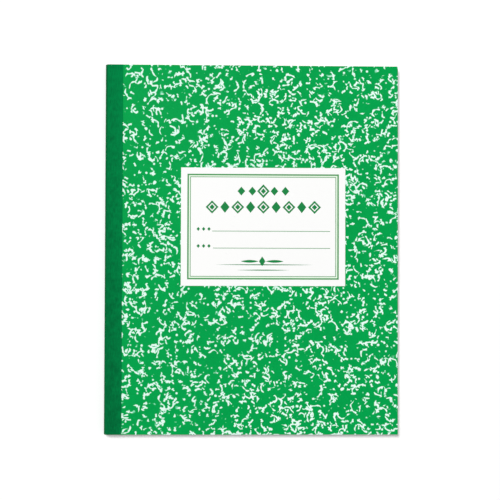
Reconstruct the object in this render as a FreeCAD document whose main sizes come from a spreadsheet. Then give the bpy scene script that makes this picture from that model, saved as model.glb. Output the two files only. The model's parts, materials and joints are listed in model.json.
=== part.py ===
import FreeCAD, Part
import math
import os
from enum import IntEnum

import Sketcher

# Composition notebook, closed and lying on its back cover.
#
# All the leaves are one thick section: sheets folded once, nested, and machine-sewn
# through the fold into a card cover. A cloth strip is glued round the spine over the
# stitching. Each cover turns on the sewn fold, at the outside of that strip.
#
# Frame, in millimetres: X runs from the spine to the fore edge, Y from foot to head,
# Z up from the surface it lies on. The origin is under the middle of the closed book.
# Every section through the spine is drawn about the centre of the rounded fold.

SIZES = [
    ("book_width", 196.85, "spine to fore edge, over the cloth"),
    ("book_height", 247.65, "foot to head"),
    ("leaf_count", 50, "leaves, two to each folded sheet"),
    ("leaf_caliper", 0.092, "one leaf, with the air between leaves"),
    ("cover_caliper", 0.5, "card cover"),
    ("tape_caliper", 0.25, "cloth strip"),
    ("tape_reach", 11.9, "spine face to the edge of the cloth on each cover"),
    ("page_clearance", 0.1, "air between the leaves and each cover"),
    ("trim_step", 0.2, "how far the leaves lie inside the cut edges of the cover"),
    ("fold_gap", 0.1, "slit between the two halves at the sewn fold"),
    ("thread_diameter", 0.4, "sewing thread"),
    ("thread_clearance", 0.05, "room round the thread"),
    ("thread_tail", 4.0, "thread past the first and last needle holes"),
    ("stitch_pitch", 12.0, "needle hole to needle hole"),
    ("stitch_margin", 12.0, "least distance from a needle hole to head or foot"),
    ("label_width", 110.3, "pasted label, along X"),
    ("label_height", 79.3, "pasted label, along Y"),
    ("label_caliper", 0.1, "label paper"),
    ("label_to_fore_edge", 35.5, "label to the fore edge"),
    ("label_to_head", 69.0, "label to the head"),
]

# Sizes that follow from the driving ones, written for the expression engine.
BLOCK_HALF = "(Sizes.leaf_count * Sizes.leaf_caliper / 2)"
COVER_INSIDE = f"({BLOCK_HALF} + Sizes.page_clearance)"
COVER_OUTSIDE = f"({COVER_INSIDE} + Sizes.cover_caliper)"
TAPE_OUTSIDE = f"({COVER_OUTSIDE} + Sizes.tape_caliper)"
COVER_LENGTH = f"(Sizes.book_width - {TAPE_OUTSIDE})"
TAPE_LENGTH = f"(Sizes.tape_reach - {TAPE_OUTSIDE})"
HALF_GAP = "(Sizes.fold_gap / 2)"

THREAD_RADIUS = "(Sizes.thread_diameter / 2)"
THREAD_ROOM = f"({THREAD_RADIUS} + Sizes.thread_clearance)"
RUN_DEPTH = f"({COVER_OUTSIDE} - {THREAD_ROOM})"
LOOP_RADIUS = "(Sizes.thread_diameter + Sizes.thread_clearance)"
TUNNEL_RADIUS = f"({LOOP_RADIUS} + {THREAD_ROOM})"
STITCHES = (
    "floor((Sizes.book_height - 2 * Sizes.stitch_margin) / Sizes.stitch_pitch)"
)
STITCH_SPAN = f"({STITCHES} * Sizes.stitch_pitch)"
THREAD_LENGTH = f"({STITCH_SPAN} + 2 * Sizes.thread_tail)"
SLOT_LENGTH = f"({THREAD_LENGTH} + 2 * Sizes.thread_clearance)"


class Side(IntEnum):
    """Which way from the fold, along Z."""

    FRONT = 1
    BACK = -1


class Axis(IntEnum):
    """How a sketch numbers its own axes."""

    H = -1
    V = -2


class Point(IntEnum):
    """How a sketch numbers the points of a line or an arc."""

    START = 1
    END = 2
    CENTRE = 3


ORIGIN = (Axis.H, Point.START)


def add_sizes(doc):
    """The driving dimensions, one aliased cell each."""
    sheet = doc.addObject("Spreadsheet::Sheet", "Sizes")
    for row, (alias, value, meaning) in enumerate(SIZES, start=1):
        sheet.set(f"A{row}", meaning)
        sheet.set(f"B{row}", str(value))
        sheet.setAlias(f"B{row}", alias)
    doc.recompute()
    return sheet


def value_of(doc, expression):
    """An expression's present value, to draw a sketch where its constraints hold it."""
    result = doc.Sizes.evalExpression(expression)
    return float(getattr(result, "Value", result))


def add_body(doc, name):
    """A body whose own origin is the centre of the rounded fold."""
    body = doc.addObject("PartDesign::Body", name)
    body.setExpression("Placement.Base.x", f"{TAPE_OUTSIDE} - Sizes.book_width / 2")
    body.setExpression("Placement.Base.z", TAPE_OUTSIDE)
    return body


def origin_feature(body, role):
    return next(item for item in body.Origin.OriginFeatures if item.Role == role)


def add_sketch(body, name, plane):
    sketch = body.newObject("Sketcher::SketchObject", name)
    sketch.AttachmentSupport = [(origin_feature(body, plane), "")]
    sketch.MapMode = "FlatFace"
    return sketch


def fix(sketch, kind, *where):
    """Adds a constraint that has no size."""
    sketch.addConstraint(Sketcher.Constraint(kind, *where))


def bind(sketch, name, kind, *where, size):
    """Adds a named dimension and ties it to the sheet."""
    now = value_of(sketch.Document, size)
    index = sketch.addConstraint(Sketcher.Constraint(kind, *where, now))
    sketch.renameConstraint(index, name)
    sketch.setExpression(f"Constraints.{name}", size)


def line(start, end):
    return Part.LineSegment(FreeCAD.Vector(*start, 0), FreeCAD.Vector(*end, 0))


def circle(centre, radius):
    return Part.Circle(FreeCAD.Vector(*centre, 0), FreeCAD.Vector(0, 0, 1), radius)


def arc(radius, start, end):
    """An arc about the sketch's origin, anticlockwise between two angles."""
    return Part.ArcOfCircle(circle((0, 0), radius), start, end)


def pad(body, sketch, name, length, symmetric=True):
    feature = body.newObject("PartDesign::Pad", name)
    feature.Profile = sketch
    feature.SideType = "Symmetric" if symmetric else "One side"
    feature.setExpression("Length", length)
    return feature


def pocket(body, sketch, name, length, symmetric=False, along_normal=False):
    """A cut. It goes against the sketch's normal unless along_normal is set."""
    feature = body.newObject("PartDesign::Pocket", name)
    feature.Profile = sketch
    feature.SideType = "Symmetric" if symmetric else "One side"
    feature.Reversed = along_normal
    feature.setExpression("Length", length)
    return feature


def repeat_along_spine(body, originals, name):
    """Copies features from the needle hole nearest the foot to every other one."""
    pattern = body.newObject("PartDesign::LinearPattern", name)
    pattern.Originals = originals
    pattern.Direction = (origin_feature(body, "Y_Axis"), [""])
    pattern.Mode = "Extent"
    pattern.setExpression("Length", STITCH_SPAN)
    pattern.setExpression("Occurrences", f"{STITCHES} + 1")
    body.Tip = pattern
    return pattern


def draw_half_shell(doc, body, side, inside, outside, length):
    """Section of one half that wraps the spine: a quarter round, then a flat."""
    sketch = add_sketch(body, "Section", "XZ_Plane")
    inner = value_of(doc, inside)
    outer = value_of(doc, outside)
    reach = value_of(doc, length)
    gap = value_of(doc, HALF_GAP)

    def quarter(radius):
        slit = math.asin(gap / radius)
        if side == Side.FRONT:
            return arc(radius, math.pi / 2, math.pi - slit)
        return arc(radius, math.pi + slit, 3 * math.pi / 2)

    inner_left = -math.sqrt(inner**2 - gap**2)
    outer_left = -math.sqrt(outer**2 - gap**2)
    outer_arc = sketch.addGeometry(quarter(outer))
    inner_arc = sketch.addGeometry(quarter(inner))
    outer_flat = sketch.addGeometry(line((0, side * outer), (reach, side * outer)))
    cut_edge = sketch.addGeometry(line((reach, side * outer), (reach, side * inner)))
    inner_flat = sketch.addGeometry(line((reach, side * inner), (0, side * inner)))
    fold_edge = sketch.addGeometry(line((inner_left, side * gap), (outer_left, side * gap)))

    # An arc runs anticlockwise, so its two ends change places between the front and the back.
    at_flat, at_fold = (Point.START, Point.END) if side == Side.FRONT else (Point.END, Point.START)
    for joined in (
        (outer_arc, at_flat, outer_flat, Point.START),
        (outer_flat, Point.END, cut_edge, Point.START),
        (cut_edge, Point.END, inner_flat, Point.START),
        (inner_flat, Point.END, inner_arc, at_flat),
        (inner_arc, at_fold, fold_edge, Point.START),
        (fold_edge, Point.END, outer_arc, at_fold),
        (outer_arc, Point.CENTRE, *ORIGIN),
        (inner_arc, Point.CENTRE, *ORIGIN),
    ):
        fix(sketch, "Coincident", *joined)
    for level in (outer_flat, inner_flat, fold_edge):
        fix(sketch, "Horizontal", level)
    fix(sketch, "Vertical", cut_edge)
    fix(sketch, "PointOnObject", outer_flat, Point.START, Axis.V)
    fix(sketch, "PointOnObject", inner_flat, Point.END, Axis.V)
    bind(sketch, "Outside", "Radius", outer_arc, size=outside)
    bind(sketch, "Inside", "Radius", inner_arc, size=inside)
    bind(sketch, "Reach", "DistanceX", *ORIGIN, cut_edge, Point.START, size=length)
    slit = (*ORIGIN, fold_edge, Point.START) if side == Side.FRONT else (fold_edge, Point.START, *ORIGIN)
    bind(sketch, "Slit", "DistanceY", *slit, size=HALF_GAP)
    return sketch


def draw_circle(doc, body, name, plane, radius, along=None, across=None):
    """A circle on a sketch, moved from the origin by expressions along its two axes."""
    sketch = add_sketch(body, name, plane)
    place = [value_of(doc, move) if move else 0.0 for move in (along, across)]
    ring = sketch.addGeometry(circle(place, value_of(doc, radius)))
    bind(sketch, "Radius", "Radius", ring, size=radius)
    for label, kind, axis, move in (
        ("Along", "DistanceX", Axis.V, along),
        ("Across", "DistanceY", Axis.H, across),
    ):
        if move:
            bind(sketch, label, kind, *ORIGIN, ring, Point.CENTRE, size=move)
        else:
            fix(sketch, "PointOnObject", ring, Point.CENTRE, axis)
    return sketch


def draw_rectangle(doc, body, name, plane, left, right, bottom, top):
    """A rectangle whose four sides are placed from the origin by expressions."""
    sketch = add_sketch(body, name, plane)
    x_low, x_high, y_low, y_high = (value_of(doc, side) for side in (left, right, bottom, top))
    corners = [(x_low, y_low), (x_high, y_low), (x_high, y_high), (x_low, y_high)]
    sides = [sketch.addGeometry(line(a, b)) for a, b in zip(corners, corners[1:] + corners[:1])]
    for first, second in zip(sides, sides[1:] + sides[:1]):
        fix(sketch, "Coincident", first, Point.END, second, Point.START)
    lower, right_side, upper, left_side = sides
    for level in (lower, upper):
        fix(sketch, "Horizontal", level)
    for upright in (right_side, left_side):
        fix(sketch, "Vertical", upright)
    bind(sketch, "Left", "DistanceX", *ORIGIN, lower, Point.START, size=left)
    bind(sketch, "Right", "DistanceX", *ORIGIN, lower, Point.END, size=right)
    bind(sketch, "Bottom", "DistanceY", *ORIGIN, lower, Point.START, size=bottom)
    bind(sketch, "Top", "DistanceY", *ORIGIN, upper, Point.START, size=top)
    return sketch


def build_page_block(doc):
    """The nested leaves as one solid, with the needle holes and the innermost fold's hollow."""
    body = add_body(doc, "page_block")
    half = value_of(doc, BLOCK_HALF)
    depth = f"({COVER_LENGTH} - Sizes.trim_step)"
    reach = value_of(doc, depth)

    sketch = add_sketch(body, "Section", "XZ_Plane")
    fold = sketch.addGeometry(arc(half, math.pi / 2, 3 * math.pi / 2))
    bottom = sketch.addGeometry(line((0, -half), (reach, -half)))
    fore_edge = sketch.addGeometry(line((reach, -half), (reach, half)))
    top = sketch.addGeometry(line((reach, half), (0, half)))
    for joined in (
        (fold, Point.END, bottom, Point.START),
        (bottom, Point.END, fore_edge, Point.START),
        (fore_edge, Point.END, top, Point.START),
        (top, Point.END, fold, Point.START),
        (fold, Point.CENTRE, *ORIGIN),
    ):
        fix(sketch, "Coincident", *joined)
    fix(sketch, "Horizontal", bottom)
    fix(sketch, "Horizontal", top)
    fix(sketch, "Vertical", fore_edge)
    fix(sketch, "PointOnObject", top, Point.END, Axis.V)
    bind(sketch, "Half", "Radius", fold, size=BLOCK_HALF)
    bind(sketch, "Depth", "DistanceX", *ORIGIN, fore_edge, Point.START, size=depth)
    pad(body, sketch, "Leaves", "Sizes.book_height - 2 * Sizes.trim_step")

    tunnel = draw_circle(doc, body, "TunnelOutline", "XZ_Plane", TUNNEL_RADIUS)
    pocket(body, tunnel, "InnerFold", SLOT_LENGTH, symmetric=True)
    hole = draw_circle(doc, body, "HoleOutline", "YZ_Plane", THREAD_ROOM, f"-{STITCH_SPAN} / 2")
    first = pocket(body, hole, "NeedleHole", COVER_INSIDE)
    repeat_along_spine(body, [first], "NeedleHoles")


def build_cover(doc, name, side):
    """Half of the card cover, from the sewn fold to the fore edge."""
    body = add_body(doc, name)
    section = draw_half_shell(doc, body, side, COVER_INSIDE, COVER_OUTSIDE, COVER_LENGTH)
    pad(body, section, "Card", "Sizes.book_height")
    slot = draw_rectangle(
        doc, body, "SlotOutline", "XY_Plane",
        f"-{TAPE_OUTSIDE}", f"-{BLOCK_HALF}", f"-{SLOT_LENGTH} / 2", f"{SLOT_LENGTH} / 2",
    )
    pocket(body, slot, "StitchSlot", THREAD_ROOM, along_normal=side == Side.FRONT)


def build_tape(doc, name, side):
    """Half of the cloth strip, glued to the cover that it wraps."""
    body = add_body(doc, name)
    section = draw_half_shell(doc, body, side, COVER_OUTSIDE, TAPE_OUTSIDE, TAPE_LENGTH)
    pad(body, section, "Cloth", "Sizes.book_height")


def build_needle_thread(doc):
    """The outer thread: a run along the spine, and in each hole a strand with a loop two threads wide."""
    body = add_body(doc, "needle_thread")
    run = draw_circle(doc, body, "RunOutline", "XZ_Plane", THREAD_RADIUS, f"-{RUN_DEPTH}")
    pad(body, run, "Run", THREAD_LENGTH)
    strand = draw_circle(doc, body, "StrandOutline", "YZ_Plane", THREAD_RADIUS, f"-{STITCH_SPAN} / 2")
    strand.setExpression("AttachmentOffset.Base.z", f"-{RUN_DEPTH}")
    through = pad(body, strand, "Strand", f"{RUN_DEPTH} - {LOOP_RADIUS}", symmetric=False)
    ring = draw_rectangle(
        doc, body, "LoopOutline", "YZ_Plane",
        f"-{STITCH_SPAN} / 2 - Sizes.thread_diameter", f"-{STITCH_SPAN} / 2 + Sizes.thread_diameter",
        f"{LOOP_RADIUS} - {THREAD_RADIUS}", f"{LOOP_RADIUS} + {THREAD_RADIUS}",
    )
    loop = body.newObject("PartDesign::Revolution", "Loop")
    loop.Profile = ring
    loop.ReferenceAxis = (ring, ["H_Axis"])
    loop.Angle = 360
    repeat_along_spine(body, [through, loop], "Stitches")


def build_bobbin_thread(doc):
    """The inner thread, which every loop holds in the innermost fold."""
    body = add_body(doc, "bobbin_thread")
    section = draw_circle(doc, body, "Section", "XZ_Plane", THREAD_RADIUS)
    pad(body, section, "Thread", THREAD_LENGTH)


def build_label(doc):
    """The paper label on the front cover."""
    label = doc.addObject("Part::Box", "cover_label")
    label.setExpression("Length", "Sizes.label_width")
    label.setExpression("Width", "Sizes.label_height")
    label.setExpression("Height", "Sizes.label_caliper")
    label.setExpression(
        "Placement.Base.x", "Sizes.book_width / 2 - Sizes.label_to_fore_edge - Sizes.label_width"
    )
    label.setExpression(
        "Placement.Base.y", "Sizes.book_height / 2 - Sizes.label_to_head - Sizes.label_height"
    )
    label.setExpression("Placement.Base.z", f"{TAPE_OUTSIDE} + {COVER_OUTSIDE}")


def check(doc):
    """Stops at a failed feature, a pocket that cuts nothing, or a bad solid."""
    for item in doc.Objects:
        if "Invalid" in item.State or "Error" in item.State:
            raise RuntimeError(f"{item.Label} failed: {item.State}")
        if item.TypeId == "PartDesign::Pocket":
            if item.Shape.Volume >= item.BaseFeature.Shape.Volume:
                raise RuntimeError(f"{item.Label} cuts nothing")
    for part in sub_parts(doc):
        if part.Shape.isNull() or not part.Shape.isValid() or not part.Shape.Solids:
            raise RuntimeError(f"{part.Label} has no valid solid")


def sub_parts(doc):
    return [item for item in doc.Objects if item.TypeId in ("PartDesign::Body", "Part::Box")]


def main():
    doc = FreeCAD.newDocument("composition_notebook")
    add_sizes(doc)
    build_page_block(doc)
    build_cover(doc, "front_cover", Side.FRONT)
    build_cover(doc, "back_cover", Side.BACK)
    build_tape(doc, "spine_tape_front", Side.FRONT)
    build_tape(doc, "spine_tape_back", Side.BACK)
    build_needle_thread(doc)
    build_bobbin_thread(doc)
    build_label(doc)
    doc.recompute()
    check(doc)
    os.makedirs("parts", exist_ok=True)
    for part in sub_parts(doc):
        part.Shape.exportStep(f"parts/{part.Label}.step")
        print(part.Label, round(part.Shape.Volume, 2), part.Shape.BoundBox)


main()
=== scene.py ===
"""The looks of a composition notebook: leaves, marbled covers, cloth spine tape, thread and label.

Lengths are in metres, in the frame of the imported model. MM turns millimetres into metres.
"""

import json
import math
import random
from typing import NamedTuple

import bmesh
import bpy
from mathutils import Euler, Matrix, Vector


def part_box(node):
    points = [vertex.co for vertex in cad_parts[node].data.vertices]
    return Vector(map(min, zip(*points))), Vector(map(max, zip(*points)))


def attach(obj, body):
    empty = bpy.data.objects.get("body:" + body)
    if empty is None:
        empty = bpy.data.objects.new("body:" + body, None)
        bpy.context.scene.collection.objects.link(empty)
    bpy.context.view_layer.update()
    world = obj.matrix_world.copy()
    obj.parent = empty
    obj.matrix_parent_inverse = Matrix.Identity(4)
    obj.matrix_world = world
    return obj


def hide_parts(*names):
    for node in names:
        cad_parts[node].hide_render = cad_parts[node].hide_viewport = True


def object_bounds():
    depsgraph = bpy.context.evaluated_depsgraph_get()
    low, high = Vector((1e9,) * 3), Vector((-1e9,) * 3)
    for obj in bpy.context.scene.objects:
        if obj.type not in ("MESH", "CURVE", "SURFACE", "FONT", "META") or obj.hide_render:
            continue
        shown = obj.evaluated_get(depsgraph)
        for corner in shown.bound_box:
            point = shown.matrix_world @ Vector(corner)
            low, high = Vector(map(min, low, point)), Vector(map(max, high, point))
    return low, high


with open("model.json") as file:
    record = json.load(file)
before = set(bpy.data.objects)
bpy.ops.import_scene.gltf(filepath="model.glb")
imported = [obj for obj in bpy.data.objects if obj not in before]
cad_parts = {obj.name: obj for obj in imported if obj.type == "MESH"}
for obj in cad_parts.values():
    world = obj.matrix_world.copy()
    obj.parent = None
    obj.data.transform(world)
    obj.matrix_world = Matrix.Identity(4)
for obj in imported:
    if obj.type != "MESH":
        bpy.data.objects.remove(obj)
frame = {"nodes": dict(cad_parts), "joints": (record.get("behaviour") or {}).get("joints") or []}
cad_low, cad_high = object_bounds()

MM = 0.001
SEED = 20

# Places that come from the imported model

block_low, block_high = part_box("page_block")
front_low, front_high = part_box("front_cover")
tape_low, tape_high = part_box("spine_tape_front")
label_low, label_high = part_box("cover_label")

FOLD_Z = frame["joints"][0]["pos_m"][2]
TAPE_RADIUS = tape_high.z - FOLD_Z
TAPE_CALIPER = tape_high.z - front_high.z
COVER_RADIUS = front_high.z - FOLD_Z
BLOCK_RADIUS = block_high.z - FOLD_Z
FOLD_X = tape_low.x + TAPE_RADIUS
FOLD_GAP = front_low.z - FOLD_Z
LABEL_CENTRE = (label_low + label_high) / 2

# Colours, linear

PRINT_GREEN = (0.0010, 0.365, 0.0740)
PRINT_WHITE = (0.81, 0.985, 0.91)
PRINT_WHITE_FIBRE = (0.68, 0.88, 0.78)
PRINT_THIN = (0.19, 0.72, 0.42)
CARD_INSIDE = (0.80, 0.79, 0.75)
CARD_FIBRE = (0.62, 0.60, 0.54)
CARD_EDGE = (0.80, 0.79, 0.74)
CLOTH_GREEN = (0.0004, 0.250, 0.064)
CLOTH_SHADE = (0.0003, 0.130, 0.036)
LEAF_WHITE = (0.88, 0.87, 0.83)
LABEL_WHITE = (0.975, 0.975, 0.965)
LABEL_INK = (0.003, 0.215, 0.050)
LABEL_LINE = (0.075, 0.31, 0.10)
LABEL_TINT = (0.80, 0.96, 0.77)
RULE_BLUE = (0.15, 0.37, 0.62)
COTTON = (0.80, 0.79, 0.74)
FLOOR_WHITE = (0.93, 0.93, 0.93)
BACKDROP_WHITE = (1.0, 1.0, 1.0)


def rgba(colour):
    """A plain colour with full alpha. A socket stays as it is."""
    return (*colour, 1.0) if isinstance(colour, tuple) else colour


def scaled(colour, share):
    """The same colour, darker or lighter."""
    return tuple(share * part for part in colour)


# Most of a noise lies between these two values

NOISE_LOW = 0.3
NOISE_HIGH = 0.7
NOISE_MIDDLE = 0.5


class Graph:
    """Short names for the shader nodes of one material, or of the world."""

    def __init__(self, owner):
        owner.use_nodes = True
        self.owner = owner
        self.tree = owner.node_tree
        self.tree.nodes.clear()

    def node(self, kind, **settings):
        node = self.tree.nodes.new(kind)
        for name, value in settings.items():
            setattr(node, name, value)
        return node

    def feed(self, socket, value):
        """Links a socket, or sets a plain value. None leaves the input at its default."""
        if isinstance(value, bpy.types.NodeSocket):
            self.tree.links.new(value, socket)
        elif value is not None:
            socket.default_value = value

    def math(self, operation, *values):
        node = self.node("ShaderNodeMath", operation=operation)
        for socket, value in zip(node.inputs, values):
            self.feed(socket, value)
        return node.outputs[0]

    def vector(self, operation, first, second=None, scale=None):
        node = self.node("ShaderNodeVectorMath", operation=operation)
        self.feed(node.inputs[0], first)
        self.feed(node.inputs[1], second)
        if scale is not None:
            self.feed(node.inputs["Scale"], scale)
        return node.outputs[0]

    def coordinates(self, kind="Object"):
        return self.node("ShaderNodeTexCoord").outputs[kind]

    def noise_texture(self, place, size, detail=0.0):
        node = self.node("ShaderNodeTexNoise")
        self.feed(node.inputs["Vector"], place)
        node.inputs["Scale"].default_value = 1 / size
        node.inputs["Detail"].default_value = detail
        return node

    def noise(self, place, size, detail=0.0):
        return self.noise_texture(place, size, detail).outputs[0]

    def cells(self, place, size, feature="F1", dimensions="3D"):
        node = self.node("ShaderNodeTexVoronoi", feature=feature, voronoi_dimensions=dimensions)
        self.feed(node.inputs["Vector"], place)
        node.inputs["Scale"].default_value = 1 / size
        return node

    def colour_parts(self, colour):
        node = self.node("ShaderNodeSeparateColor")
        self.feed(node.inputs[0], colour)
        return node.outputs[0], node.outputs[1], node.outputs[2]

    def place_parts(self, place):
        node = self.node("ShaderNodeSeparateXYZ")
        self.feed(node.inputs[0], place)
        return node.outputs[0], node.outputs[1], node.outputs[2]

    def upward(self):
        """The upward part of the surface's normal, with the object at rest."""
        return self.place_parts(self.coordinates("Normal"))[2]

    def spread(self, value, low, high, to_low=0.0, to_high=1.0):
        """Maps low..high to to_low..to_high, and stays at the ends beyond them."""
        node = self.node("ShaderNodeMapRange")
        self.feed(node.inputs["Value"], value)
        names = ("From Min", "From Max", "To Min", "To Max")
        for name, number in zip(names, (low, high, to_low, to_high)):
            node.inputs[name].default_value = number
        return node.outputs["Result"]

    def stretch(self, noise, to_low=0.0, to_high=1.0):
        """Spreads a noise over a whole range."""
        return self.spread(noise, NOISE_LOW, NOISE_HIGH, to_low, to_high)

    def centred(self, noise):
        return self.math("SUBTRACT", noise, NOISE_MIDDLE)

    def mix(self, share, first, second):
        node = self.node("ShaderNodeMix", data_type="RGBA")
        self.feed(node.inputs["Factor"], share)
        ends = [socket for socket in node.inputs if socket.type == "RGBA"]
        self.feed(ends[0], rgba(first))
        self.feed(ends[1], rgba(second))
        return [socket for socket in node.outputs if socket.type == "RGBA"][0]

    def bump(self, height, depth):
        node = self.node("ShaderNodeBump")
        self.feed(node.inputs["Height"], height)
        node.inputs["Distance"].default_value = depth
        node.inputs["Strength"].default_value = 1.0
        return node.outputs[0]

    def show(self, shader, output="ShaderNodeOutputMaterial"):
        self.feed(self.node(output).inputs["Surface"], shader)
        return self.owner

    def surface(self, colour, roughness, normal, **constants):
        """Ends a material. The constants are names of the shader's inputs, with _ for a space."""
        shader = self.node("ShaderNodeBsdfPrincipled")
        self.feed(shader.inputs["Base Color"], rgba(colour))
        self.feed(shader.inputs["Roughness"], roughness)
        self.feed(shader.inputs["Normal"], normal)
        for name, value in constants.items():
            shader.inputs[name.replace("_", " ")].default_value = value
        return self.show(shader.outputs[0])


def new_material(name):
    return Graph(bpy.data.materials.new(name))


# The marbled print: white strokes, dashes, dots and small nets left in the green

class StrokeLayer(NamedTuple):
    """Strokes of about one size. The reach is a share of the cell, and so many cells hold a stroke."""

    cell: float
    reach: float
    share: float
    radius: float


class DotLayer(NamedTuple):
    """Round dots of about one size. The radius is a share of the cell, and so many cells hold a dot."""

    cell: float
    share: float
    radius: float


STROKE_LAYERS = (
    StrokeLayer(cell=8.0 * MM, reach=0.50, share=0.25, radius=0.403 * MM),
    StrokeLayer(cell=6.2 * MM, reach=0.50, share=0.25, radius=0.403 * MM),
    StrokeLayer(cell=4.4 * MM, reach=0.48, share=0.25, radius=0.383 * MM),
    StrokeLayer(cell=2.9 * MM, reach=0.36, share=0.21, radius=0.348 * MM),
)
SPOTS = DotLayer(cell=2.6 * MM, share=0.16, radius=0.32)
BLOBS = DotLayer(cell=6.0 * MM, share=0.13, radius=0.24)
HOLES = DotLayer(cell=1.6 * MM, share=0.04, radius=0.28)
SMALLEST_DOT = 0.45
STROKE_KNOB = 0.15 * MM
STROKE_CURVATURE = 140.0
SHORT_ARM_SHARE = 0.45
SHORT_ARM_PLACE = 0.75
LUMP_SIZE = 2.2 * MM
LUMP_DEPTH = 1.15 * MM
BEND_SIZE = 4.0 * MM
BEND_DEPTH = 2.0 * MM
FRAY_SIZE = 1.2 * MM
FRAY_DEPTH = 0.20 * MM
FRAY_DETAIL = 1.5
CROWD_SIZE = 9.0 * MM
CROWD_DEPTH = 0.10
NET_CELL = 3.6 * MM
NET_LINE = 0.11
NET_LUMP = 0.25
NET_GATE = 0.73
NET_GATE_WIDTH = 0.08
NET_GATE_SIZE = 3.2 * MM

# The depth at the border of a cell, so that a stroke runs out before it is cut off there

BORDER_DEPTH = -0.05 * MM

# Turns the choice of a cell into a depth so steep that it leaves no half-chosen cell

CHOICE_STEP = 50 * MM

# Each part of the print is read from another part of the endless pattern, so many steps away

PATTERN_STEP = Vector((0.137, 0.219, 0.0))
FRONT_PART = 1
BACK_PART = 2
BEND_PART = 1
FRAY_PART = 2
NET_GATE_PART = 3
LUMP_PART = 4
SPOT_PART = 5
BLOB_PART = 6
HOLE_PART = 7
CROWD_PART = 9
FIRST_STROKE_PART = 10


def moved(g, place, steps):
    """The same place seen in another part of the endless pattern."""
    return g.vector("ADD", place, tuple(PATTERN_STEP * steps))


def shaken(g, place, size, depth, part, detail=0.0):
    """A small shift to any side, which changes slowly from place to place."""
    colour = g.noise_texture(moved(g, place, part), size, detail).outputs["Color"]
    middle = (NOISE_MIDDLE, NOISE_MIDDLE, NOISE_MIDDLE)
    return g.vector("SCALE", g.vector("SUBTRACT", colour, middle), scale=depth)


def direction(g, turn):
    """The cosine and sine of a share of a full turn."""
    angle = g.math("MULTIPLY", turn, 2 * math.pi)
    return g.math("COSINE", angle), g.math("SINE", angle)


def turned(g, x, y, cosine, sine):
    """A place measured along and across a direction."""
    along = g.math("MULTIPLY_ADD", x, cosine, g.math("MULTIPLY", y, sine))
    across = g.math("SUBTRACT", g.math("MULTIPLY", y, cosine), g.math("MULTIPLY", x, sine))
    return along, across


def stroke_arm(g, along, across, length, bow):
    """How far a place lies inside a bent line about the origin, before its thickness."""
    across = g.math("MULTIPLY_ADD", g.math("MULTIPLY", along, along), bow, across)
    past = g.math("MAXIMUM", g.math("SUBTRACT", g.math("ABSOLUTE", along), length), 0.0)
    squares = g.math("MULTIPLY_ADD", past, past, g.math("MULTIPLY", across, across))
    distance = g.math("SQRT", squares)
    end = g.math("DIVIDE", along, length)
    knob = g.math("MULTIPLY", g.math("MINIMUM", g.math("MULTIPLY", end, end), 1.0), STROKE_KNOB)
    return g.math("SUBTRACT", knob, distance)


def two_arms(g, x, y, turn, fork, length, bow):
    """How far a place lies inside a bent line that a shorter one crosses, before their thickness."""
    along, across = turned(g, x, y, *direction(g, turn))
    long_arm = stroke_arm(g, along, across, length, bow)
    joint = g.math("MULTIPLY", length, SHORT_ARM_PLACE)
    along = g.math("SUBTRACT", along, joint)
    across = g.math("MULTIPLY_ADD", g.math("MULTIPLY", joint, joint), bow, across)
    along, across = turned(g, along, across, *direction(g, fork))
    short_arm = stroke_arm(g, along, across, g.math("MULTIPLY", length, SHORT_ARM_SHARE), -bow)
    return g.math("MAXIMUM", long_arm, short_arm)


def only_where(g, inside, chosen):
    """The depth inside a shape in the chosen cells, where chosen is above 0, and far below 0 in the rest."""
    return g.math("MINIMUM", inside, g.math("MULTIPLY", chosen, CHOICE_STEP))


def strokes(g, place, layer, bow, lump, crowd):
    """Bent strokes of two arms, in some of the cells: the depth inside a stroke, in metres."""
    cells = g.cells(place, layer.cell, dimensions="2D")
    turn, pick, fork = g.colour_parts(cells.outputs["Color"])
    x, y, _ = g.place_parts(g.vector("SUBTRACT", place, cells.outputs["Position"]))
    length = g.math("MULTIPLY", pick, layer.reach * layer.cell)
    radius = g.math("MULTIPLY_ADD", lump, LUMP_DEPTH, layer.radius - LUMP_DEPTH / 2)
    inside = g.math("ADD", two_arms(g, x, y, turn, fork, length, bow), radius)
    border = g.cells(place, layer.cell, "DISTANCE_TO_EDGE", "2D").outputs["Distance"]
    inside = g.math("MINIMUM", inside, g.math("MULTIPLY_ADD", border, layer.cell, BORDER_DEPTH))
    chosen = g.math("ADD", g.math("SUBTRACT", pick, 1 - layer.share), crowd)
    return only_where(g, inside, chosen)


def dots(g, place, layer):
    """Round dots in some of the cells: the depth inside a dot, in metres."""
    cells = g.cells(place, layer.cell)
    pick = g.colour_parts(cells.outputs["Color"])[0]
    reach = g.spread(pick, 1 - layer.share, 1.0, SMALLEST_DOT * layer.radius, layer.radius)
    inside = g.math("MULTIPLY", g.math("SUBTRACT", reach, cells.outputs["Distance"]), layer.cell)
    return only_where(g, inside, g.math("SUBTRACT", pick, 1 - layer.share))


def net(g, place, bent, lump):
    """Short stretches of a net, where a slow noise is high: the depth inside a line, in metres."""
    edge = g.cells(bent, NET_CELL, "DISTANCE_TO_EDGE").outputs["Distance"]
    gate = g.noise(moved(g, place, NET_GATE_PART), NET_GATE_SIZE)
    opened = g.spread(gate, NET_GATE - NET_GATE_WIDTH, NET_GATE + NET_GATE_WIDTH, -1.0, 1.0)
    width = g.math("MULTIPLY_ADD", lump, NET_LUMP, NET_LINE - NET_LUMP / 2)
    inside = g.math("SUBTRACT", g.math("MULTIPLY", opened, width), edge)
    return g.math("MULTIPLY", inside, NET_CELL)


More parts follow.
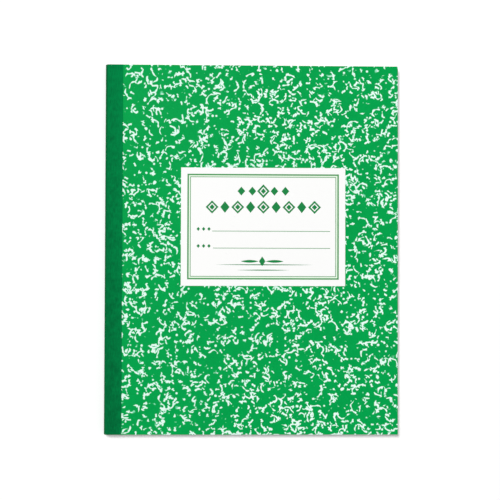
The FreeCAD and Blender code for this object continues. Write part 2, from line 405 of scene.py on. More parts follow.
def marbling(g, place):
    """How deep a place lies inside what the print leaves white, in metres. Below 0 in the green."""
    fray = shaken(g, place, FRAY_SIZE, FRAY_DEPTH, FRAY_PART, FRAY_DETAIL)
    bend = shaken(g, place, BEND_SIZE, BEND_DEPTH, BEND_PART)
    bent = g.vector("ADD", g.vector("ADD", place, bend), fray)
    lump = g.noise(moved(g, place, LUMP_PART), LUMP_SIZE)
    crowd = g.centred(g.noise(moved(g, place, CROWD_PART), CROWD_SIZE))
    crowd = g.math("MULTIPLY", crowd, CROWD_DEPTH)
    white = net(g, place, bent, lump)
    for number, layer in enumerate(STROKE_LAYERS):
        bow = STROKE_CURVATURE if number % 2 else -STROKE_CURVATURE
        drawn = strokes(g, moved(g, bent, FIRST_STROKE_PART + number), layer, bow, lump, crowd)
        white = g.math("MAXIMUM", white, drawn)
    spots = dots(g, g.vector("ADD", moved(g, place, SPOT_PART), fray), SPOTS)
    holes = dots(g, g.vector("ADD", moved(g, place, HOLE_PART), fray), HOLES)
    blobs = dots(g, moved(g, bent, BLOB_PART), BLOBS)
    white = g.math("MAXIMUM", white, g.math("MAXIMUM", spots, blobs))
    return g.math("MINIMUM", white, g.math("MULTIPLY", holes, -1.0))


# Card: the ink thins out at the edges of the white, between depths that are below 0 in the green

THIN_INK_START = -0.20 * MM
THIN_INK_END = -0.02 * MM
ALL_BARE = 0.14 * MM
CARD_FACE_UPWARD = 0.3
INK_CLOUD_SIZE = 14 * MM
INK_CLOUD_SHARE = 0.4
INK_MOTTLE_SIZE = 0.9 * MM
INK_MOTTLE_SHARE = 0.6
LIGHT_INK = 1.06
DEEP_INK = 0.86
CARD_FIBRE_SIZE = 0.35 * MM
FLECK_START = 0.40
FLECK_END = 0.75
FLECK_SHARE = 0.45
WHITE_FIBRE_SHARE = 0.12
CARD_TOOTH_SIZE = 0.5 * MM
CARD_TOOTH_DEPTH = 0.016 * MM
CARD_HILL_SIZE = 22 * MM
CARD_HILL_SHARE = 6.0
CARD_ROUGHNESS = 0.62
INK_ROUGHNESS = 0.50
CARD_SHINE = 0.02


def flattened(g, place):
    """The same place, brought down to the plane of the card."""
    across, along, _ = g.place_parts(place)
    flat = g.node("ShaderNodeCombineXYZ")
    g.feed(flat.inputs[0], across)
    g.feed(flat.inputs[1], along)
    return flat.outputs[0]


def printed_ink(g, place):
    """The print's green, deeper in some places than in others."""
    cloud = g.stretch(g.noise(place, INK_CLOUD_SIZE, detail=2.0), 0.0, INK_CLOUD_SHARE)
    mottle = g.stretch(g.noise(place, INK_MOTTLE_SIZE, detail=4.0))
    lightness = g.math("MULTIPLY_ADD", mottle, INK_MOTTLE_SHARE, cloud)
    return g.mix(lightness, scaled(PRINT_GREEN, DEEP_INK), scaled(PRINT_GREEN, LIGHT_INK))


def bare_card(g, fibre, upward):
    """Pale card with flecks, for the inner face and the cut edges."""
    edge = g.math("LESS_THAN", g.math("ABSOLUTE", upward), CARD_FACE_UPWARD)
    flecks = g.spread(fibre, FLECK_START, FLECK_END, 0.0, FLECK_SHARE)
    return g.mix(flecks, g.mix(edge, CARD_INSIDE, CARD_EDGE), CARD_FIBRE)


def card_relief(g, place):
    """The fine tooth of the card, over slow hills."""
    tooth = g.noise(place, CARD_TOOTH_SIZE, detail=4.0)
    hills = g.noise(place, CARD_HILL_SIZE, detail=1.0)
    return g.bump(g.math("MULTIPLY_ADD", hills, CARD_HILL_SHARE, tooth), CARD_TOOTH_DEPTH)


def marbled_card(name, up, part):
    """Card with the marbled print on its outer face. up is 1 where that face looks up, -1 where down."""
    g = new_material(name)
    place = g.coordinates()
    upward = g.upward()
    outside = g.math("GREATER_THAN", g.math("MULTIPLY", upward, up), CARD_FACE_UPWARD)
    fibre = g.noise(place, CARD_FIBRE_SIZE, detail=3.0)
    depth = marbling(g, moved(g, flattened(g, place), part))
    thinning = g.spread(depth, THIN_INK_START, THIN_INK_END)
    unprinted = g.spread(depth, THIN_INK_END, ALL_BARE)
    white = g.mix(g.math("MULTIPLY", fibre, WHITE_FIBRE_SHARE), PRINT_WHITE, PRINT_WHITE_FIBRE)
    ink = g.mix(thinning, printed_ink(g, place), PRINT_THIN)
    colour = g.mix(outside, bare_card(g, fibre, upward), g.mix(unprinted, ink, white))
    inked = g.math("MULTIPLY", outside, g.math("SUBTRACT", 1.0, unprinted))
    rough = g.spread(inked, 0.0, 1.0, CARD_ROUGHNESS, INK_ROUGHNESS)
    return g.surface(colour, rough, card_relief(g, place), Specular_IOR_Level=CARD_SHINE)


# Book cloth: its weave and uneven threads, with painted shade in the weave, towards the fold and the tail,
# and on the dark round of the fold

WEAVE_PITCH = 0.42 * MM
WEAVE_DEPTH = 0.10 * MM
WEAVE_PAINTED_SHADE = 0.60
SLUB_STRETCH = (7.0, 1.0, 1.0)
SLUB_SIZE = 4.0 * MM
SLUB_SHARE = 0.6
SLUB_HEIGHT = 1.2
SLUB_LIGHT = (-0.30, 0.60)
CLOT_SIZE = 6.0 * MM
CLOT_SHARE = 0.4
CLOTH_CLOUD_SIZE = 16 * MM
CLOTH_CLOUD_DEPTH = 0.35
BLOTCH_SIZE = 2.2 * MM
BLOTCH_DEPTH = 0.55
PAINTED_SHADE_TO_FOLD = 0.34
PAINTED_LIGHT_ALONG = 0.24
FOLD_LIGHT = 0.0
FLAP_LIGHT = 1.5
FOLD_LIGHT_START = 3.0 * MM
FOLD_LIGHT_END = 5.0 * MM
FULL_LIGHT = 0.9
CLOTH_ROUGHNESS = (0.62, 0.78)
CLOTH_SHINE = 0.02
CLOTH_MAP = "unrolled_cloth"
CLOTH_WIDTH = math.pi / 2 * TAPE_RADIUS + tape_high.x - FOLD_X


def thread_profile(g, across, along):
    """A family of threads in plain weave: its height, up and down over the threads that it crosses."""
    number = g.math("FLOOR", across)
    offset = g.math("SUBTRACT", g.math("FRACT", across), 0.5)
    round_top = g.math("COSINE", g.math("MULTIPLY", offset, math.pi))
    wave = g.math("COSINE", g.math("MULTIPLY", g.math("ADD", along, number), math.pi))
    return g.math("MULTIPLY", round_top, g.math("MULTIPLY_ADD", wave, 0.5, 0.5))


def weave_height(g, unrolled):
    """The height of the threads over each other, from 0 to 1."""
    around, along, _ = g.place_parts(g.vector("SCALE", unrolled, scale=1 / WEAVE_PITCH))
    warp = thread_profile(g, around, g.math("SUBTRACT", along, 0.5))
    weft = thread_profile(g, along, g.math("ADD", around, 0.5))
    return g.math("MAXIMUM", warp, weft)


def slub_tone(g, unrolled):
    """Long thick stretches of the threads that run along the spine, with round clots among them."""
    slubs = g.noise(g.vector("MULTIPLY", unrolled, SLUB_STRETCH), SLUB_SIZE, detail=3.0)
    clots = g.noise(unrolled, CLOT_SIZE, detail=3.0)
    return g.math("MULTIPLY_ADD", clots, CLOT_SHARE, g.math("MULTIPLY", slubs, SLUB_SHARE))


def cloth_light(g, unrolled, weave, slubs):
    """How light the cloth is: 0 and less is its shade, and FULL_LIGHT and more its full green. It holds the
    threads' random tone and painted shade: in the weave, towards the fold, along the strip and on the round
    of the fold.
    """
    from_fold, along, _ = g.place_parts(unrolled)
    # Painted shade across the strip: darker towards the fold, lighter towards the cloth's cut edge
    across = g.spread(from_fold, 0.0, CLOTH_WIDTH, -PAINTED_SHADE_TO_FOLD, PAINTED_SHADE_TO_FOLD / 2)
    # Painted light and shade along the strip: lighter towards the head, darker towards the tail
    painted_light_along = g.spread(along, tape_low.y, tape_high.y, -PAINTED_LIGHT_ALONG, PAINTED_LIGHT_ALONG)
    cloud = g.centred(g.noise(unrolled, CLOTH_CLOUD_SIZE, detail=2.0))
    blotch = g.centred(g.noise(unrolled, BLOTCH_SIZE, detail=1.0))
    # Painted shade in the weave: the low places between the threads are darker
    light = g.math("MULTIPLY_ADD", weave, WEAVE_PAINTED_SHADE, g.stretch(slubs, *SLUB_LIGHT))
    light = g.math("MULTIPLY_ADD", cloud, CLOTH_CLOUD_DEPTH, light)
    light = g.math("MULTIPLY_ADD", blotch, BLOTCH_DEPTH, light)
    light = g.math("ADD", light, g.math("ADD", across, painted_light_along))
    # Painted shade on the round of the fold: there the cloth is held down to its darkest, rising to full
    # green past it
    painted_fold_shade_cap = g.spread(from_fold, FOLD_LIGHT_START, FOLD_LIGHT_END, FOLD_LIGHT, FLAP_LIGHT)
    return g.math("MINIMUM", light, painted_fold_shade_cap)


def spine_cloth():
    """Book cloth in plain weave, dyed dark green, with uneven threads and painted shade."""
    g = new_material("green_book_cloth")
    unrolled = g.node("ShaderNodeUVMap", uv_map=CLOTH_MAP).outputs["UV"]
    weave = weave_height(g, unrolled)
    slubs = slub_tone(g, unrolled)
    light = g.spread(cloth_light(g, unrolled, weave, slubs), 0.0, FULL_LIGHT)
    # CLOTH_SHADE is the cloth at its darkest, from darker threads and from painted shade
    colour = g.mix(light, CLOTH_SHADE, CLOTH_GREEN)
    relief = g.bump(g.math("MULTIPLY_ADD", slubs, SLUB_HEIGHT, weave), WEAVE_DEPTH)
    rough = g.stretch(slubs, *CLOTH_ROUGHNESS)
    return g.surface(colour, rough, relief, Specular_IOR_Level=CLOTH_SHINE)


# Primary ruling: a pair of whole lines with a dashed line between, then a space

RULE_PITCH = 23.8 * MM
RULE_GROUP = 15.9 * MM
RULE_TOP = 96 * MM
RULE_END = -112 * MM
RULE_HALF = 0.17 * MM
DASH_PITCH = 5.0 * MM
DASH_SHARE = 0.6

# Writing paper

LEAF_FACE_UPWARD = 0.9
LEAF_DARK = 0.80
LEAF_FIBRE_SIZE = 0.6 * MM
LEAF_FIBRE_SHARE = 0.10
LEAF_TOOTH_DEPTH = 0.012 * MM
LEAF_ROUGHNESS = 0.75
PAPER_SHINE = 0.12
TONE = "tone"


def ruling(g, place):
    """1 on the printed lines of a leaf."""
    across, along, _ = g.place_parts(place)
    down = g.math("SUBTRACT", RULE_TOP, along)
    step = g.math("WRAP", down, RULE_PITCH - RULE_HALF, -RULE_HALF)

    def line(at):
        distance = g.math("ABSOLUTE", g.math("SUBTRACT", step, at))
        return g.math("LESS_THAN", distance, RULE_HALF)

    dash = g.math("LESS_THAN", g.math("WRAP", across, DASH_PITCH, 0.0), DASH_SHARE * DASH_PITCH)
    whole = g.math("MAXIMUM", line(0.0), line(RULE_GROUP))
    lines = g.math("MAXIMUM", whole, g.math("MULTIPLY", line(RULE_GROUP / 2), dash))
    started = g.math("GREATER_THAN", down, -RULE_HALF)
    going = g.math("GREATER_THAN", along, RULE_END)
    return g.math("MULTIPLY", lines, g.math("MULTIPLY", started, going))


def leaf_paper():
    """Uncoated writing paper: ruled faces, and cut edges whose tone differs from sheet to sheet."""
    g = new_material("ruled_writing_paper")
    place = g.coordinates()
    face = g.math("GREATER_THAN", g.math("ABSOLUTE", g.upward()), LEAF_FACE_UPWARD)
    tone = g.node("ShaderNodeAttribute", attribute_name=TONE).outputs["Fac"]
    fibre = g.noise(place, LEAF_FIBRE_SIZE, detail=4.0)
    shade = g.math("MULTIPLY", g.math("SUBTRACT", 1.0, face), tone)
    shade = g.math("MULTIPLY_ADD", fibre, LEAF_FIBRE_SHARE, shade)
    paper = g.mix(shade, LEAF_WHITE, scaled(LEAF_WHITE, LEAF_DARK))
    colour = g.mix(g.math("MULTIPLY", face, ruling(g, place)), paper, RULE_BLUE)
    tooth = g.bump(fibre, LEAF_TOOTH_DEPTH)
    return g.surface(colour, LEAF_ROUGHNESS, tooth, Specular_IOR_Level=PAPER_SHINE)


# The label's print, in millimetres from the middle of the label. Half sizes are wide and high

PRINT_SHIFT = (-0.05, 0.05)
OUTER_HALF = (50.35, 34.9)
INNER_HALF = (48.80, 33.35)
OUTER_LINE = 1.0
INNER_LINE = 0.46


class LevelLine(NamedTuple):
    """A level line of the print: its middle and half of its length."""

    x: float
    y: float
    reach: float


FILL_LINES = (LevelLine(5.35, -2.95, 39.6), LevelLine(5.65, -14.35, 39.3))
FILL_HALF = 0.21
MARK_X = -39.95
MARK_LIFT = 1.4
MARK_PITCH = 3.6
MARK_HALF = (1.15, 1.35)


class OrnamentRow(NamedTuple):
    """A row of lozenges on both sides of a centre, some of them hollow with a small one inside."""

    centre: tuple
    pitch: float
    count_aside: int
    hollow_every: int
    solid_half: tuple
    hollow_half: tuple
    wall: float
    heart_half: tuple


ORNAMENT_ROWS = (
    OrnamentRow(
        centre=(0.05, 23.95), pitch=7.4, count_aside=2, hollow_every=3,
        solid_half=(2.6, 3.0), hollow_half=(4.2, 4.6), wall=0.38, heart_half=(1.7, 1.9),
    ),
    OrnamentRow(
        centre=(0.05, 13.2), pitch=8.6, count_aside=4, hollow_every=2,
        solid_half=(3.1, 3.9), hollow_half=(4.3, 4.4), wall=0.36, heart_half=(1.8, 1.9),
    ),
)
FOOT_MARK = (-0.65, -23.15)
FOOT_MARK_HALF = (2.2, 3.3)
FOOT_STROKE_AT = 8.4
FOOT_STROKE_REACH = 6.0
FOOT_STROKE_HALF = 0.9
FOOT_RULES = (LevelLine(0.65, -25.45, 33.0), LevelLine(0.05, -29.05, 18.0))
FOOT_RULE_HALF = 0.32


class Print:
    """Flat shapes on the label. Each shape's value is above 0 inside it."""

    def __init__(self, g, place, centre):
        self.g = g
        from_centre = g.vector("SUBTRACT", place, tuple(centre))
        self.x, self.y, _ = g.place_parts(g.vector("SCALE", from_centre, scale=1 / MM))

    def away(self, centre):
        x = self.g.math("SUBTRACT", self.x, centre[0])
        y = self.g.math("SUBTRACT", self.y, centre[1])
        return self.g.math("ABSOLUTE", x), self.g.math("ABSOLUTE", y)

    def panel(self, centre, half):
        g = self.g
        x, y = self.away(centre)
        return g.math("MINIMUM", g.math("SUBTRACT", half[0], x), g.math("SUBTRACT", half[1], y))

    def border(self, centre, half, line):
        distance = self.g.math("ABSOLUTE", self.panel(centre, half))
        return self.g.math("SUBTRACT", line / 2, distance)

    def lozenge(self, centre, half):
        g = self.g
        x, y = self.away(centre)
        share = g.math("ADD", g.math("DIVIDE", x, half[0]), g.math("DIVIDE", y, half[1]))
        return g.math("SUBTRACT", 1.0, share)

    def hollow_lozenge(self, centre, half, wall):
        """Only the rim of a lozenge. The wall is a share of its half size."""
        g = self.g
        shape = self.lozenge(centre, half)
        return g.math("MINIMUM", shape, g.math("SUBTRACT", wall, shape))

    def swelled_rule(self, centre, reach, half):
        """A rule that is thick in the middle and runs out to a point at both ends."""
        g = self.g
        x, y = self.away(centre)
        x = g.math("DIVIDE", x, reach)
        room = g.math("SUBTRACT", 1.0, g.math("MULTIPLY", x, x))
        return g.math("SUBTRACT", g.math("MULTIPLY", room, half), y)

    def within(self, shapes):
        """1 inside any of the shapes."""
        total = shapes[0]
        for shape in shapes[1:]:
            total = self.g.math("MAXIMUM", total, shape)
        return self.g.math("GREATER_THAN", total, 0.0)


def ornament_shapes(sheet, row):
    """One row of ornaments, in the place of a line of words."""
    shapes = []
    for step in range(-row.count_aside, row.count_aside + 1):
        centre = (row.centre[0] + row.pitch * step, row.centre[1])
        if step % row.hollow_every:
            shapes.append(sheet.lozenge(centre, row.solid_half))
        else:
            shapes.append(sheet.hollow_lozenge(centre, row.hollow_half, row.wall))
            shapes.append(sheet.lozenge(centre, row.heart_half))
    return shapes


def foot_shapes(sheet):
    """A lozenge between two short strokes, with two long swelled rules below."""
    shapes = [sheet.lozenge(FOOT_MARK, FOOT_MARK_HALF)]
    for side in (-1, 1):
        centre = (FOOT_MARK[0] + FOOT_STROKE_AT * side, FOOT_MARK[1])
        shapes.append(sheet.swelled_rule(centre, FOOT_STROKE_REACH, FOOT_STROKE_HALF))
    for rule in FOOT_RULES:
        shapes.append(sheet.swelled_rule((rule.x, rule.y), rule.reach, FOOT_RULE_HALF))
    return shapes


def mark_shapes(sheet):
    """Three small lozenges before each line to write on."""
    shapes = []
    for line in FILL_LINES:
        for step in (-1, 0, 1):
            centre = (MARK_X + MARK_PITCH * step, line.y + MARK_LIFT)
            shapes.append(sheet.lozenge(centre, MARK_HALF))
    return shapes


def line_shapes(sheet):
    """The two lines of the border and the lines to write on."""
    shapes = [
        sheet.border(PRINT_SHIFT, OUTER_HALF, OUTER_LINE),
        sheet.border(PRINT_SHIFT, INNER_HALF, INNER_LINE),
    ]
    for line in FILL_LINES:
        shapes.append(sheet.panel((line.x, line.y), (line.reach, FILL_HALF)))
    return shapes


def between_borders(g, sheet):
    """1 in the pale green band between the two lines of the border."""
    outer = sheet.panel(PRINT_SHIFT, OUTER_HALF)
    inner = sheet.panel(PRINT_SHIFT, INNER_HALF)
    band = g.math("MINIMUM", outer, g.math("MULTIPLY", inner, -1.0))
    return g.math("GREATER_THAN", band, 0.0)


# The label's paper and ink

LABEL_FACE_UPWARD = 0.5
LABEL_DULL = 0.93
LABEL_FIBRE_SIZE = 0.5 * MM
LABEL_FIBRE_SHARE = 0.3
LABEL_TINT_SHARE = 0.75
SPECKLE_SIZE = 0.30 * MM
SPECKLE_START = 0.45
SPECKLE_END = 0.80
SPECKLE_SHARE = 0.20
LABEL_TOOTH_SIZE = 0.4 * MM
LABEL_TOOTH_DEPTH = 0.008 * MM
LABEL_ROUGHNESS = 0.55


def label_paper():
    """White paper with a double green border, lines to write on and printer's ornaments."""
    g = new_material("printed_label_paper")
    place = g.coordinates()
    sheet = Print(g, place, LABEL_CENTRE)
    top = g.math("GREATER_THAN", g.upward(), LABEL_FACE_UPWARD)
    fibre = g.math("MULTIPLY", g.noise(place, LABEL_FIBRE_SIZE, detail=3.0), LABEL_FIBRE_SHARE)
    colour = g.mix(fibre, LABEL_WHITE, scaled(LABEL_WHITE, LABEL_DULL))
    tint = g.math("MULTIPLY", between_borders(g, sheet), LABEL_TINT_SHARE)
    colour = g.mix(g.math("MULTIPLY", tint, top), colour, LABEL_TINT)
    lines = sheet.within(line_shapes(sheet))
    colour = g.mix(g.math("MULTIPLY", lines, top), colour, LABEL_LINE)
    speckle = g.noise(place, SPECKLE_SIZE, detail=2.0)
    speckle = g.spread(speckle, SPECKLE_START, SPECKLE_END, 0.0, SPECKLE_SHARE)
    ornaments = foot_shapes(sheet) + mark_shapes(sheet)
    for row in ORNAMENT_ROWS:
        ornaments.extend(ornament_shapes(sheet, row))
    inked = g.math("MULTIPLY", sheet.within(ornaments), top)
    colour = g.mix(inked, colour, g.mix(speckle, LABEL_INK, LABEL_LINE))
    tooth = g.bump(g.noise(place, LABEL_TOOTH_SIZE, detail=4.0), LABEL_TOOTH_DEPTH)
    return g.surface(colour, LABEL_ROUGHNESS, tooth, Specular_IOR_Level=PAPER_SHINE)


# Sewing thread

PLY_LENGTH = 0.45 * MM
PLY_LEAN = 1.6
PLY_SHADE = 0.25
FUZZ_SIZE = 0.12 * MM
FUZZ_SHARE = 0.6
COTTON_DARK = 0.62
PLY_DEPTH = 0.04 * MM
COTTON_ROUGHNESS = 0.85
COTTON_SHINE = 0.10
COTTON_SHEEN = 0.15


def sewing_thread():
    """Twisted cotton, with painted shade in the grooves between its plies."""
    g = new_material("twisted_cotton")
    place = g.coordinates()
    across, along, up = g.place_parts(place)
    lean = g.math("MULTIPLY_ADD", g.math("ADD", across, up), PLY_LEAN, along)
    plies = g.math("SINE", g.math("MULTIPLY", lean, 2 * math.pi / PLY_LENGTH))
    fuzz = g.noise(place, FUZZ_SIZE, detail=3.0)
    # Painted shade between the plies: the grooves of the twist are darker; the fuzz is the cotton's own
    # uneven tone
    shade = g.math("MULTIPLY_ADD", plies, PLY_SHADE, g.math("MULTIPLY", fuzz, FUZZ_SHARE))
    colour = g.mix(shade, COTTON, scaled(COTTON, COTTON_DARK))
    relief = g.bump(g.math("MULTIPLY_ADD", fuzz, FUZZ_SHARE, plies), PLY_DEPTH)
    shine = {"Specular_IOR_Level": COTTON_SHINE, "Sheen_Weight": COTTON_SHEEN}
    return g.surface(colour, COTTON_ROUGHNESS, relief, **shine)


# Card, cloth and paper: their thickness, cut and edges

COVER_CALIPER = 0.5 * MM
COVER_ROUNDING = 0.07 * MM
CLOTH_ROUNDING = 0.05 * MM
CLOTH_CUT = 0.03 * MM
LABEL_ROUNDING = 0.03 * MM
ROUNDING_PARTS = 2
ROUNDING_ANGLE = math.radians(50)
SMOOTH_ANGLE = math.radians(35)
SHEETS = 25
SHEET_PITCH = BLOCK_RADIUS / SHEETS
SHEET_CALIPER = (0.074 * MM, 0.086 * MM)
INMOST_FOLD = 0.2
CUT_UNEVENNESS = 0.20 * MM
CUT_SKEW = 0.06 * MM
FIRST_TONE = 0.4
TONE_DRIFT = 0.3
MOST_DRIFT = 0.8
TONE_SPREAD = 0.2

# How many parts each curve and length is made of

FOLD_PARTS = 14
COVER_PARTS_ACROSS = 24
COVER_PARTS_ALONG = 40
CLOTH_PARTS_ACROSS = 10
CLOTH_PARTS_ALONG = 330
SHEET_PARTS_ACROSS = 10
SHEET_PARTS_ALONG = 28
LEAST_SHEET_FOLD_PARTS = 6
SHEETS_PER_FOLD_PART = 3
LABEL_PARTS_ACROSS = 20
LABEL_PARTS_ALONG = 16

# The whole book lies a little unevenly, away from its spine

SWAY = 0.10 * MM
SWAY_START = -70 * MM
SWAY_LENGTH = 180 * MM
SWAY_TURN = 0.8
RIPPLE_LENGTH = 70 * MM
RIPPLE_SHARE = 0.4

# Stitches, seen as dips of the cloth along the fold

STITCH_PITCH = 12 * MM
STITCH_DIP = 0.06 * MM
STITCH_DIP_LENGTH = 1.1 * MM
STITCH_DIP_HEIGHT = 0.8 * MM


def evenly(first, last, count):
    """Values from first to last, with so many equal steps between them."""
    return [first + (last - first) * i / count for i in range(count + 1)]


def clamped(value, low, high):
    return min(max(value, low), high)


def swayed(x, y, z):
    """A point of the paper or card, moved off true flat, more so away from the spine."""
    share = clamped((x - SWAY_START) / (front_high.x - SWAY_START), 0.0, 1.0)
    wave = math.sin(2 * math.pi * y / SWAY_LENGTH + SWAY_TURN)
    ripple = RIPPLE_SHARE * math.cos(2 * math.pi * y / RIPPLE_LENGTH)
    return x, y, z + SWAY * share * share * (wave + ripple) / (1 + RIPPLE_SHARE)


def unmoved(x, y, z):
    return x, y, z


def half_shell(radius, end_x, side, gap, flat_parts):
    """Section points of one half of what wraps the fold, from the fold to the end over a cover."""
    start = math.asin(gap / radius)
    points = []
    for angle in evenly(start, math.pi / 2, FOLD_PARTS):
        points.append((FOLD_X - radius * math.cos(angle), FOLD_Z + side * radius * math.sin(angle)))
    for x in evenly(FOLD_X, end_x, flat_parts)[1:]:
        points.append((x, FOLD_Z + side * radius))
    return points


def folded_sheet(radius, ends, fold_parts):
    """Section points of a folded sheet, from its upper fore edge round the fold to its lower one."""
    upper = [(x, FOLD_Z + radius) for x in evenly(ends[0], FOLD_X, SHEET_PARTS_ACROSS)]
    fold = []
    for angle in evenly(math.pi / 2, 3 * math.pi / 2, fold_parts)[1:-1]:
        fold.append((FOLD_X + radius * math.cos(angle), FOLD_Z + radius * math.sin(angle)))
    lower = [(x, FOLD_Z - radius) for x in evenly(FOLD_X, ends[1], SHEET_PARTS_ACROSS)]
    return upper + fold + lower


def add_ribbon(mesh, first, second, stations, placed):
    """Adds a closed sheet: two matching rows of section points, swept along Y. placed moves each point."""
    rows = []
    for y in stations:
        row = []
        for points in (first, second):
            row.append([mesh.verts.new(placed(x, y, z)) for x, z in points])
        rows.append(row)
    last = len(first) - 1
    for here, there in zip(rows, rows[1:]):
        for i in range(last):
            mesh.faces.new((here[0][i], here[0][i + 1], there[0][i + 1], there[0][i]))
            mesh.faces.new((here[1][i], there[1][i], there[1][i + 1], here[1][i + 1]))
        for i in (0, last):
            mesh.faces.new((here[0][i], there[0][i], there[1][i], here[1][i]))
    for row in (rows[0], rows[-1]):
        for i in range(last):
            mesh.faces.new((row[0][i], row[1][i], row[1][i + 1], row[0][i + 1]))
    return rows


def finish_mesh(mesh, name):
    """Turns a bmesh into a piece of the scene, smooth but for its corners."""
    bmesh.ops.recalc_face_normals(mesh, faces=mesh.faces)
    data = bpy.data.meshes.new(name)
    mesh.to_mesh(data)
    mesh.free()
    data.shade_smooth()
    data.set_sharp_from_angle(angle=SMOOTH_ANGLE)
    piece = bpy.data.objects.new(name, data)
    bpy.context.scene.collection.objects.link(piece)
    return piece


def round_edges(piece, width):
    bevel = piece.modifiers.new("rounded_edges", "BEVEL")
    bevel.width = width
    bevel.segments = ROUNDING_PARTS
    bevel.limit_method = "ANGLE"
    bevel.angle_limit = ROUNDING_ANGLE


def make_cover(name, side):
    """Half of the card cover. side is 1 for the front and -1 for the back."""
    outer = half_shell(COVER_RADIUS, front_high.x, side, FOLD_GAP, COVER_PARTS_ACROSS)
    inner = half_shell(COVER_RADIUS - COVER_CALIPER, front_high.x, side, FOLD_GAP, COVER_PARTS_ACROSS)
    mesh = bmesh.new()
    add_ribbon(mesh, outer, inner, evenly(front_low.y, front_high.y, COVER_PARTS_ALONG), swayed)
    piece = finish_mesh(mesh, name)
    round_edges(piece, COVER_ROUNDING)
    return piece


def stitch_dip(y, z):
    """How far the cloth sinks where the needle went through the fold below it."""
    from_hole = (y + STITCH_PITCH / 2) % STITCH_PITCH - STITCH_PITCH / 2
    along = math.exp(-((from_hole / STITCH_DIP_LENGTH) ** 2))
    around = math.exp(-(((z - FOLD_Z) / STITCH_DIP_HEIGHT) ** 2))
    reach = front_high.y - STITCH_PITCH
    return STITCH_DIP * along * around if abs(y) < reach else 0.0


def wear_cloth(ribbon, chance):
    """Sinks the cloth over the stitches and makes its cut edge a little uneven."""
    for outer_row, inner_row in ribbon:
        for vertex in outer_row:
            vertex.co.x += stitch_dip(vertex.co.y, vertex.co.z)
        cut = CLOTH_CUT * (1 - chance.uniform(-1, 1))
        outer_row[-1].co.x -= cut
        inner_row[-1].co.x -= cut


def unroll(mesh, ribbon, points):
    """Gives the ribbon's faces the place that they would have with the sheet laid flat."""
    layer = mesh.loops.layers.uv.new(CLOTH_MAP)
    lengths = [0.0]
    for (x, z), (next_x, next_z) in zip(points, points[1:]):
        lengths.append(lengths[-1] + math.hypot(next_x - x, next_z - z))
    flat_places = {}
    for row in ribbon:
        for side in row:
            for vertex, length in zip(side, lengths):
                flat_places[vertex] = (length, vertex.co.y)
    for face in mesh.faces:
        for loop in face.loops:
            loop[layer].uv = flat_places[loop.vert]


def make_tape(name, side, chance):
    """Half of the cloth strip. side is 1 for the front and -1 for the back."""
    outer = half_shell(TAPE_RADIUS, tape_high.x, side, 0.0, CLOTH_PARTS_ACROSS)
    inner = half_shell(TAPE_RADIUS - TAPE_CALIPER, tape_high.x, side, 0.0, CLOTH_PARTS_ACROSS)
    stations = evenly(tape_low.y, tape_high.y, CLOTH_PARTS_ALONG)
    mesh = bmesh.new()
    ribbon = add_ribbon(mesh, outer, inner, stations, unmoved)
    wear_cloth(ribbon, chance)
    unroll(mesh, ribbon, outer)
    piece = finish_mesh(mesh, name)
    round_edges(piece, CLOTH_ROUNDING)
    return piece


def add_leaf_sheet(mesh, number, chance):
    """One folded sheet of the block, a little uneven at its three cut edges."""
    radius = (number + 0.5) * SHEET_PITCH
    half = chance.uniform(*SHEET_CALIPER) / 2
    ends = [block_high.x - CUT_SKEW - chance.uniform(0, CUT_UNEVENNESS) for _ in range(2)]
    head = block_high.y - chance.uniform(0, CUT_UNEVENNESS)
    tail = block_low.y + chance.uniform(0, CUT_UNEVENNESS)
    skew = [chance.uniform(-CUT_SKEW, CUT_SKEW) for _ in range(2)]
    fold_parts = LEAST_SHEET_FOLD_PARTS + number // SHEETS_PER_FOLD_PART
    outer = folded_sheet(radius + half, ends, fold_parts)
    inner = folded_sheet(max(radius - half, INMOST_FOLD * half), ends, fold_parts)

    def skewed(x, y, z):
        share = max(x - FOLD_X, 0.0) / (block_high.x - FOLD_X)
        lean = skew[0] if z > FOLD_Z else skew[1]
        _, _, height = swayed(x, y, z)
        return x + lean * share * y / block_high.y, y, height

    add_ribbon(mesh, outer, inner, evenly(tail, head, SHEET_PARTS_ALONG), skewed)


def make_leaves(chance):
    """Every sheet of the signature, nested round the fold, with a tone of its own for its cut edges."""
    mesh = bmesh.new()
    tones = []
    drift = FIRST_TONE
    for number in range(SHEETS):
        add_leaf_sheet(mesh, number, chance)
        drift = clamped(drift + chance.uniform(-TONE_DRIFT, TONE_DRIFT), 0.0, MOST_DRIFT)
        tone = clamped(drift + chance.uniform(-TONE_SPREAD, TONE_SPREAD), 0.0, 1.0)
        tones.extend([tone] * (len(mesh.verts) - len(tones)))
    piece = finish_mesh(mesh, "leaves")
    attribute = piece.data.attributes.new(TONE, "FLOAT", "POINT")
    attribute.data.foreach_set("value", tones)
    return piece


def make_label():
    """A thin sheet that follows the cover below it."""
    across = evenly(label_low.x, label_high.x, LABEL_PARTS_ACROSS)
    top = [(x, label_high.z) for x in across]
    under = [(x, label_low.z) for x in across]
    mesh = bmesh.new()
    add_ribbon(mesh, top, under, evenly(label_low.y, label_high.y, LABEL_PARTS_ALONG), swayed)
    piece = finish_mesh(mesh, "label")
    round_edges(piece, LABEL_ROUNDING)
    return piece


def dress(piece, body, slot, material, *nodes):
    """Puts a piece on a body, in the place of the model's own nodes."""
    piece.data.materials.append(material)
    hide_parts(*nodes)
    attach(piece, body)


def dress_threads(material):
    """The model's own threads are shown, with the looks of cotton."""
    for node in ("needle_thread", "bobbin_thread"):
        materials = frame["nodes"][node].data.materials
        materials.clear()
        materials.append(material)


# Stage

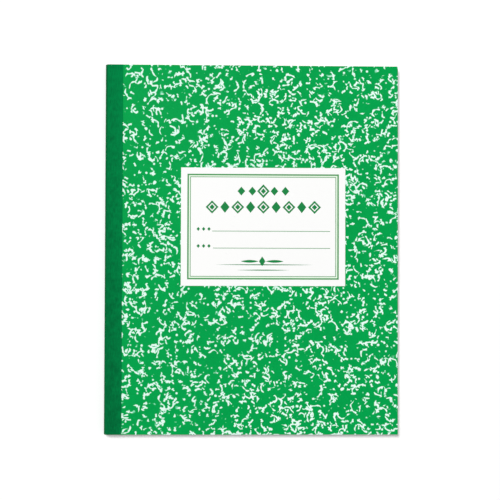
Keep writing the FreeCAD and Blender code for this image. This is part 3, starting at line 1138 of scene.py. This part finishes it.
FLOOR_SIZE = 24.0
FLOOR_DROP = 0.02 * MM
FLOOR_LIFT = 0.10
FAR_FLOOR_LIFT = 1.0
FAR_FLOOR_START = 0.25
FAR_FLOOR_END = 1.2
WORLD_LEVEL = 0.36
KEY_AT = 4.0 * Vector((-0.42, 0.58, 1.35))
KEY_SIZE = 1.9
KEY_POWER = 277.0
IMAGE_SIDE = 500
SENSOR = 36.0
FOCAL_PIXELS = 900.0
CAMERA_AT = Vector((-13.3, -10.5, 609.3)) * MM
CAMERA_TURN = (0.956, -1.165, 0.176)
CAMERA_NEAREST = 0.01
CAMERA_FARTHEST = 50.0


def backdrop_rays(g):
    """1 for rays from the camera, off a mirror or through glass, and 0 for light on its way to a piece."""
    rays = g.node("ShaderNodeLightPath").outputs
    mirrored = g.math("MAXIMUM", rays["Is Glossy Ray"], rays["Is Transmission Ray"])
    return g.math("MAXIMUM", rays["Is Camera Ray"], mirrored)


def floor_surface():
    """White that is lifted to the backdrop's white away from the object, and still takes its shadow."""
    g = new_material("white_floor")
    diffuse = g.node("ShaderNodeBsdfDiffuse")
    diffuse.inputs["Color"].default_value = rgba(FLOOR_WHITE)
    away = g.node("ShaderNodeVectorMath", operation="LENGTH")
    g.feed(away.inputs[0], g.coordinates())
    level = g.spread(away.outputs["Value"], FAR_FLOOR_START, FAR_FLOOR_END, FLOOR_LIFT, FAR_FLOOR_LIFT)
    lift = g.node("ShaderNodeEmission")
    g.feed(lift.inputs["Strength"], g.math("MULTIPLY", backdrop_rays(g), level))
    both = g.node("ShaderNodeAddShader")
    g.feed(both.inputs[0], diffuse.outputs[0])
    g.feed(both.inputs[1], lift.outputs[0])
    return g.show(both.outputs[0])


def make_floor():
    """A plain floor just under the object."""
    bpy.ops.mesh.primitive_plane_add(size=FLOOR_SIZE, location=(0, 0, cad_low.z - FLOOR_DROP))
    floor = bpy.context.object
    floor.name = "floor"
    floor.data.materials.append(floor_surface())


def make_world():
    """Even light on the object, and plain white behind it."""
    g = Graph(bpy.data.worlds.new("studio"))
    background = g.node("ShaderNodeBackground")
    background.inputs["Color"].default_value = rgba(BACKDROP_WHITE)
    g.feed(background.inputs["Strength"], g.spread(backdrop_rays(g), 0.0, 1.0, WORLD_LEVEL, 1.0))
    bpy.context.scene.world = g.show(background.outputs[0], "ShaderNodeOutputWorld")


def make_key_light():
    """A large soft lamp from the upper left."""
    light = bpy.data.lights.new("key_light", "AREA")
    light.shape = "DISK"
    light.size = KEY_SIZE
    light.energy = KEY_POWER
    lamp = bpy.data.objects.new("key_light", light)
    lamp.location = KEY_AT
    lamp.rotation_euler = KEY_AT.to_track_quat("Z", "Y").to_euler()
    bpy.context.scene.collection.objects.link(lamp)


def make_camera():
    """The photograph's view, from almost straight above."""
    data = bpy.data.cameras.new("camera")
    data.sensor_width = SENSOR
    data.lens = FOCAL_PIXELS * SENSOR / IMAGE_SIDE
    data.clip_start = CAMERA_NEAREST
    data.clip_end = CAMERA_FARTHEST
    camera = bpy.data.objects.new("camera", data)
    camera.location = CAMERA_AT
    camera.rotation_euler = Euler([math.radians(turn) for turn in CAMERA_TURN])
    bpy.context.scene.collection.objects.link(camera)
    bpy.context.scene.camera = camera


def main():
    bpy.context.scene.view_settings.view_transform = "Standard"
    make_camera()
    make_key_light()
    make_world()
    make_floor()
    chance = random.Random(SEED)
    cloth = spine_cloth()
    dress(make_leaves(chance), "pages", "leaf_paper", leaf_paper(), "page_block")
    front = marbled_card("marbled_card_front", 1, FRONT_PART)
    back = marbled_card("marbled_card_back", -1, BACK_PART)
    dress(make_cover("front_card", 1), "front", "marbled_card", front, "front_cover")
    dress(make_cover("back_card", -1), "back", "marbled_card", back, "back_cover")
    dress(make_tape("front_tape", 1, chance), "front", "spine_cloth", cloth, "spine_tape_front")
    dress(make_tape("back_tape", -1, chance), "back", "spine_cloth", cloth, "spine_tape_back")
    dress(make_label(), "front", "label_paper", label_paper(), "cover_label")
    dress_threads(sewing_thread())


main()
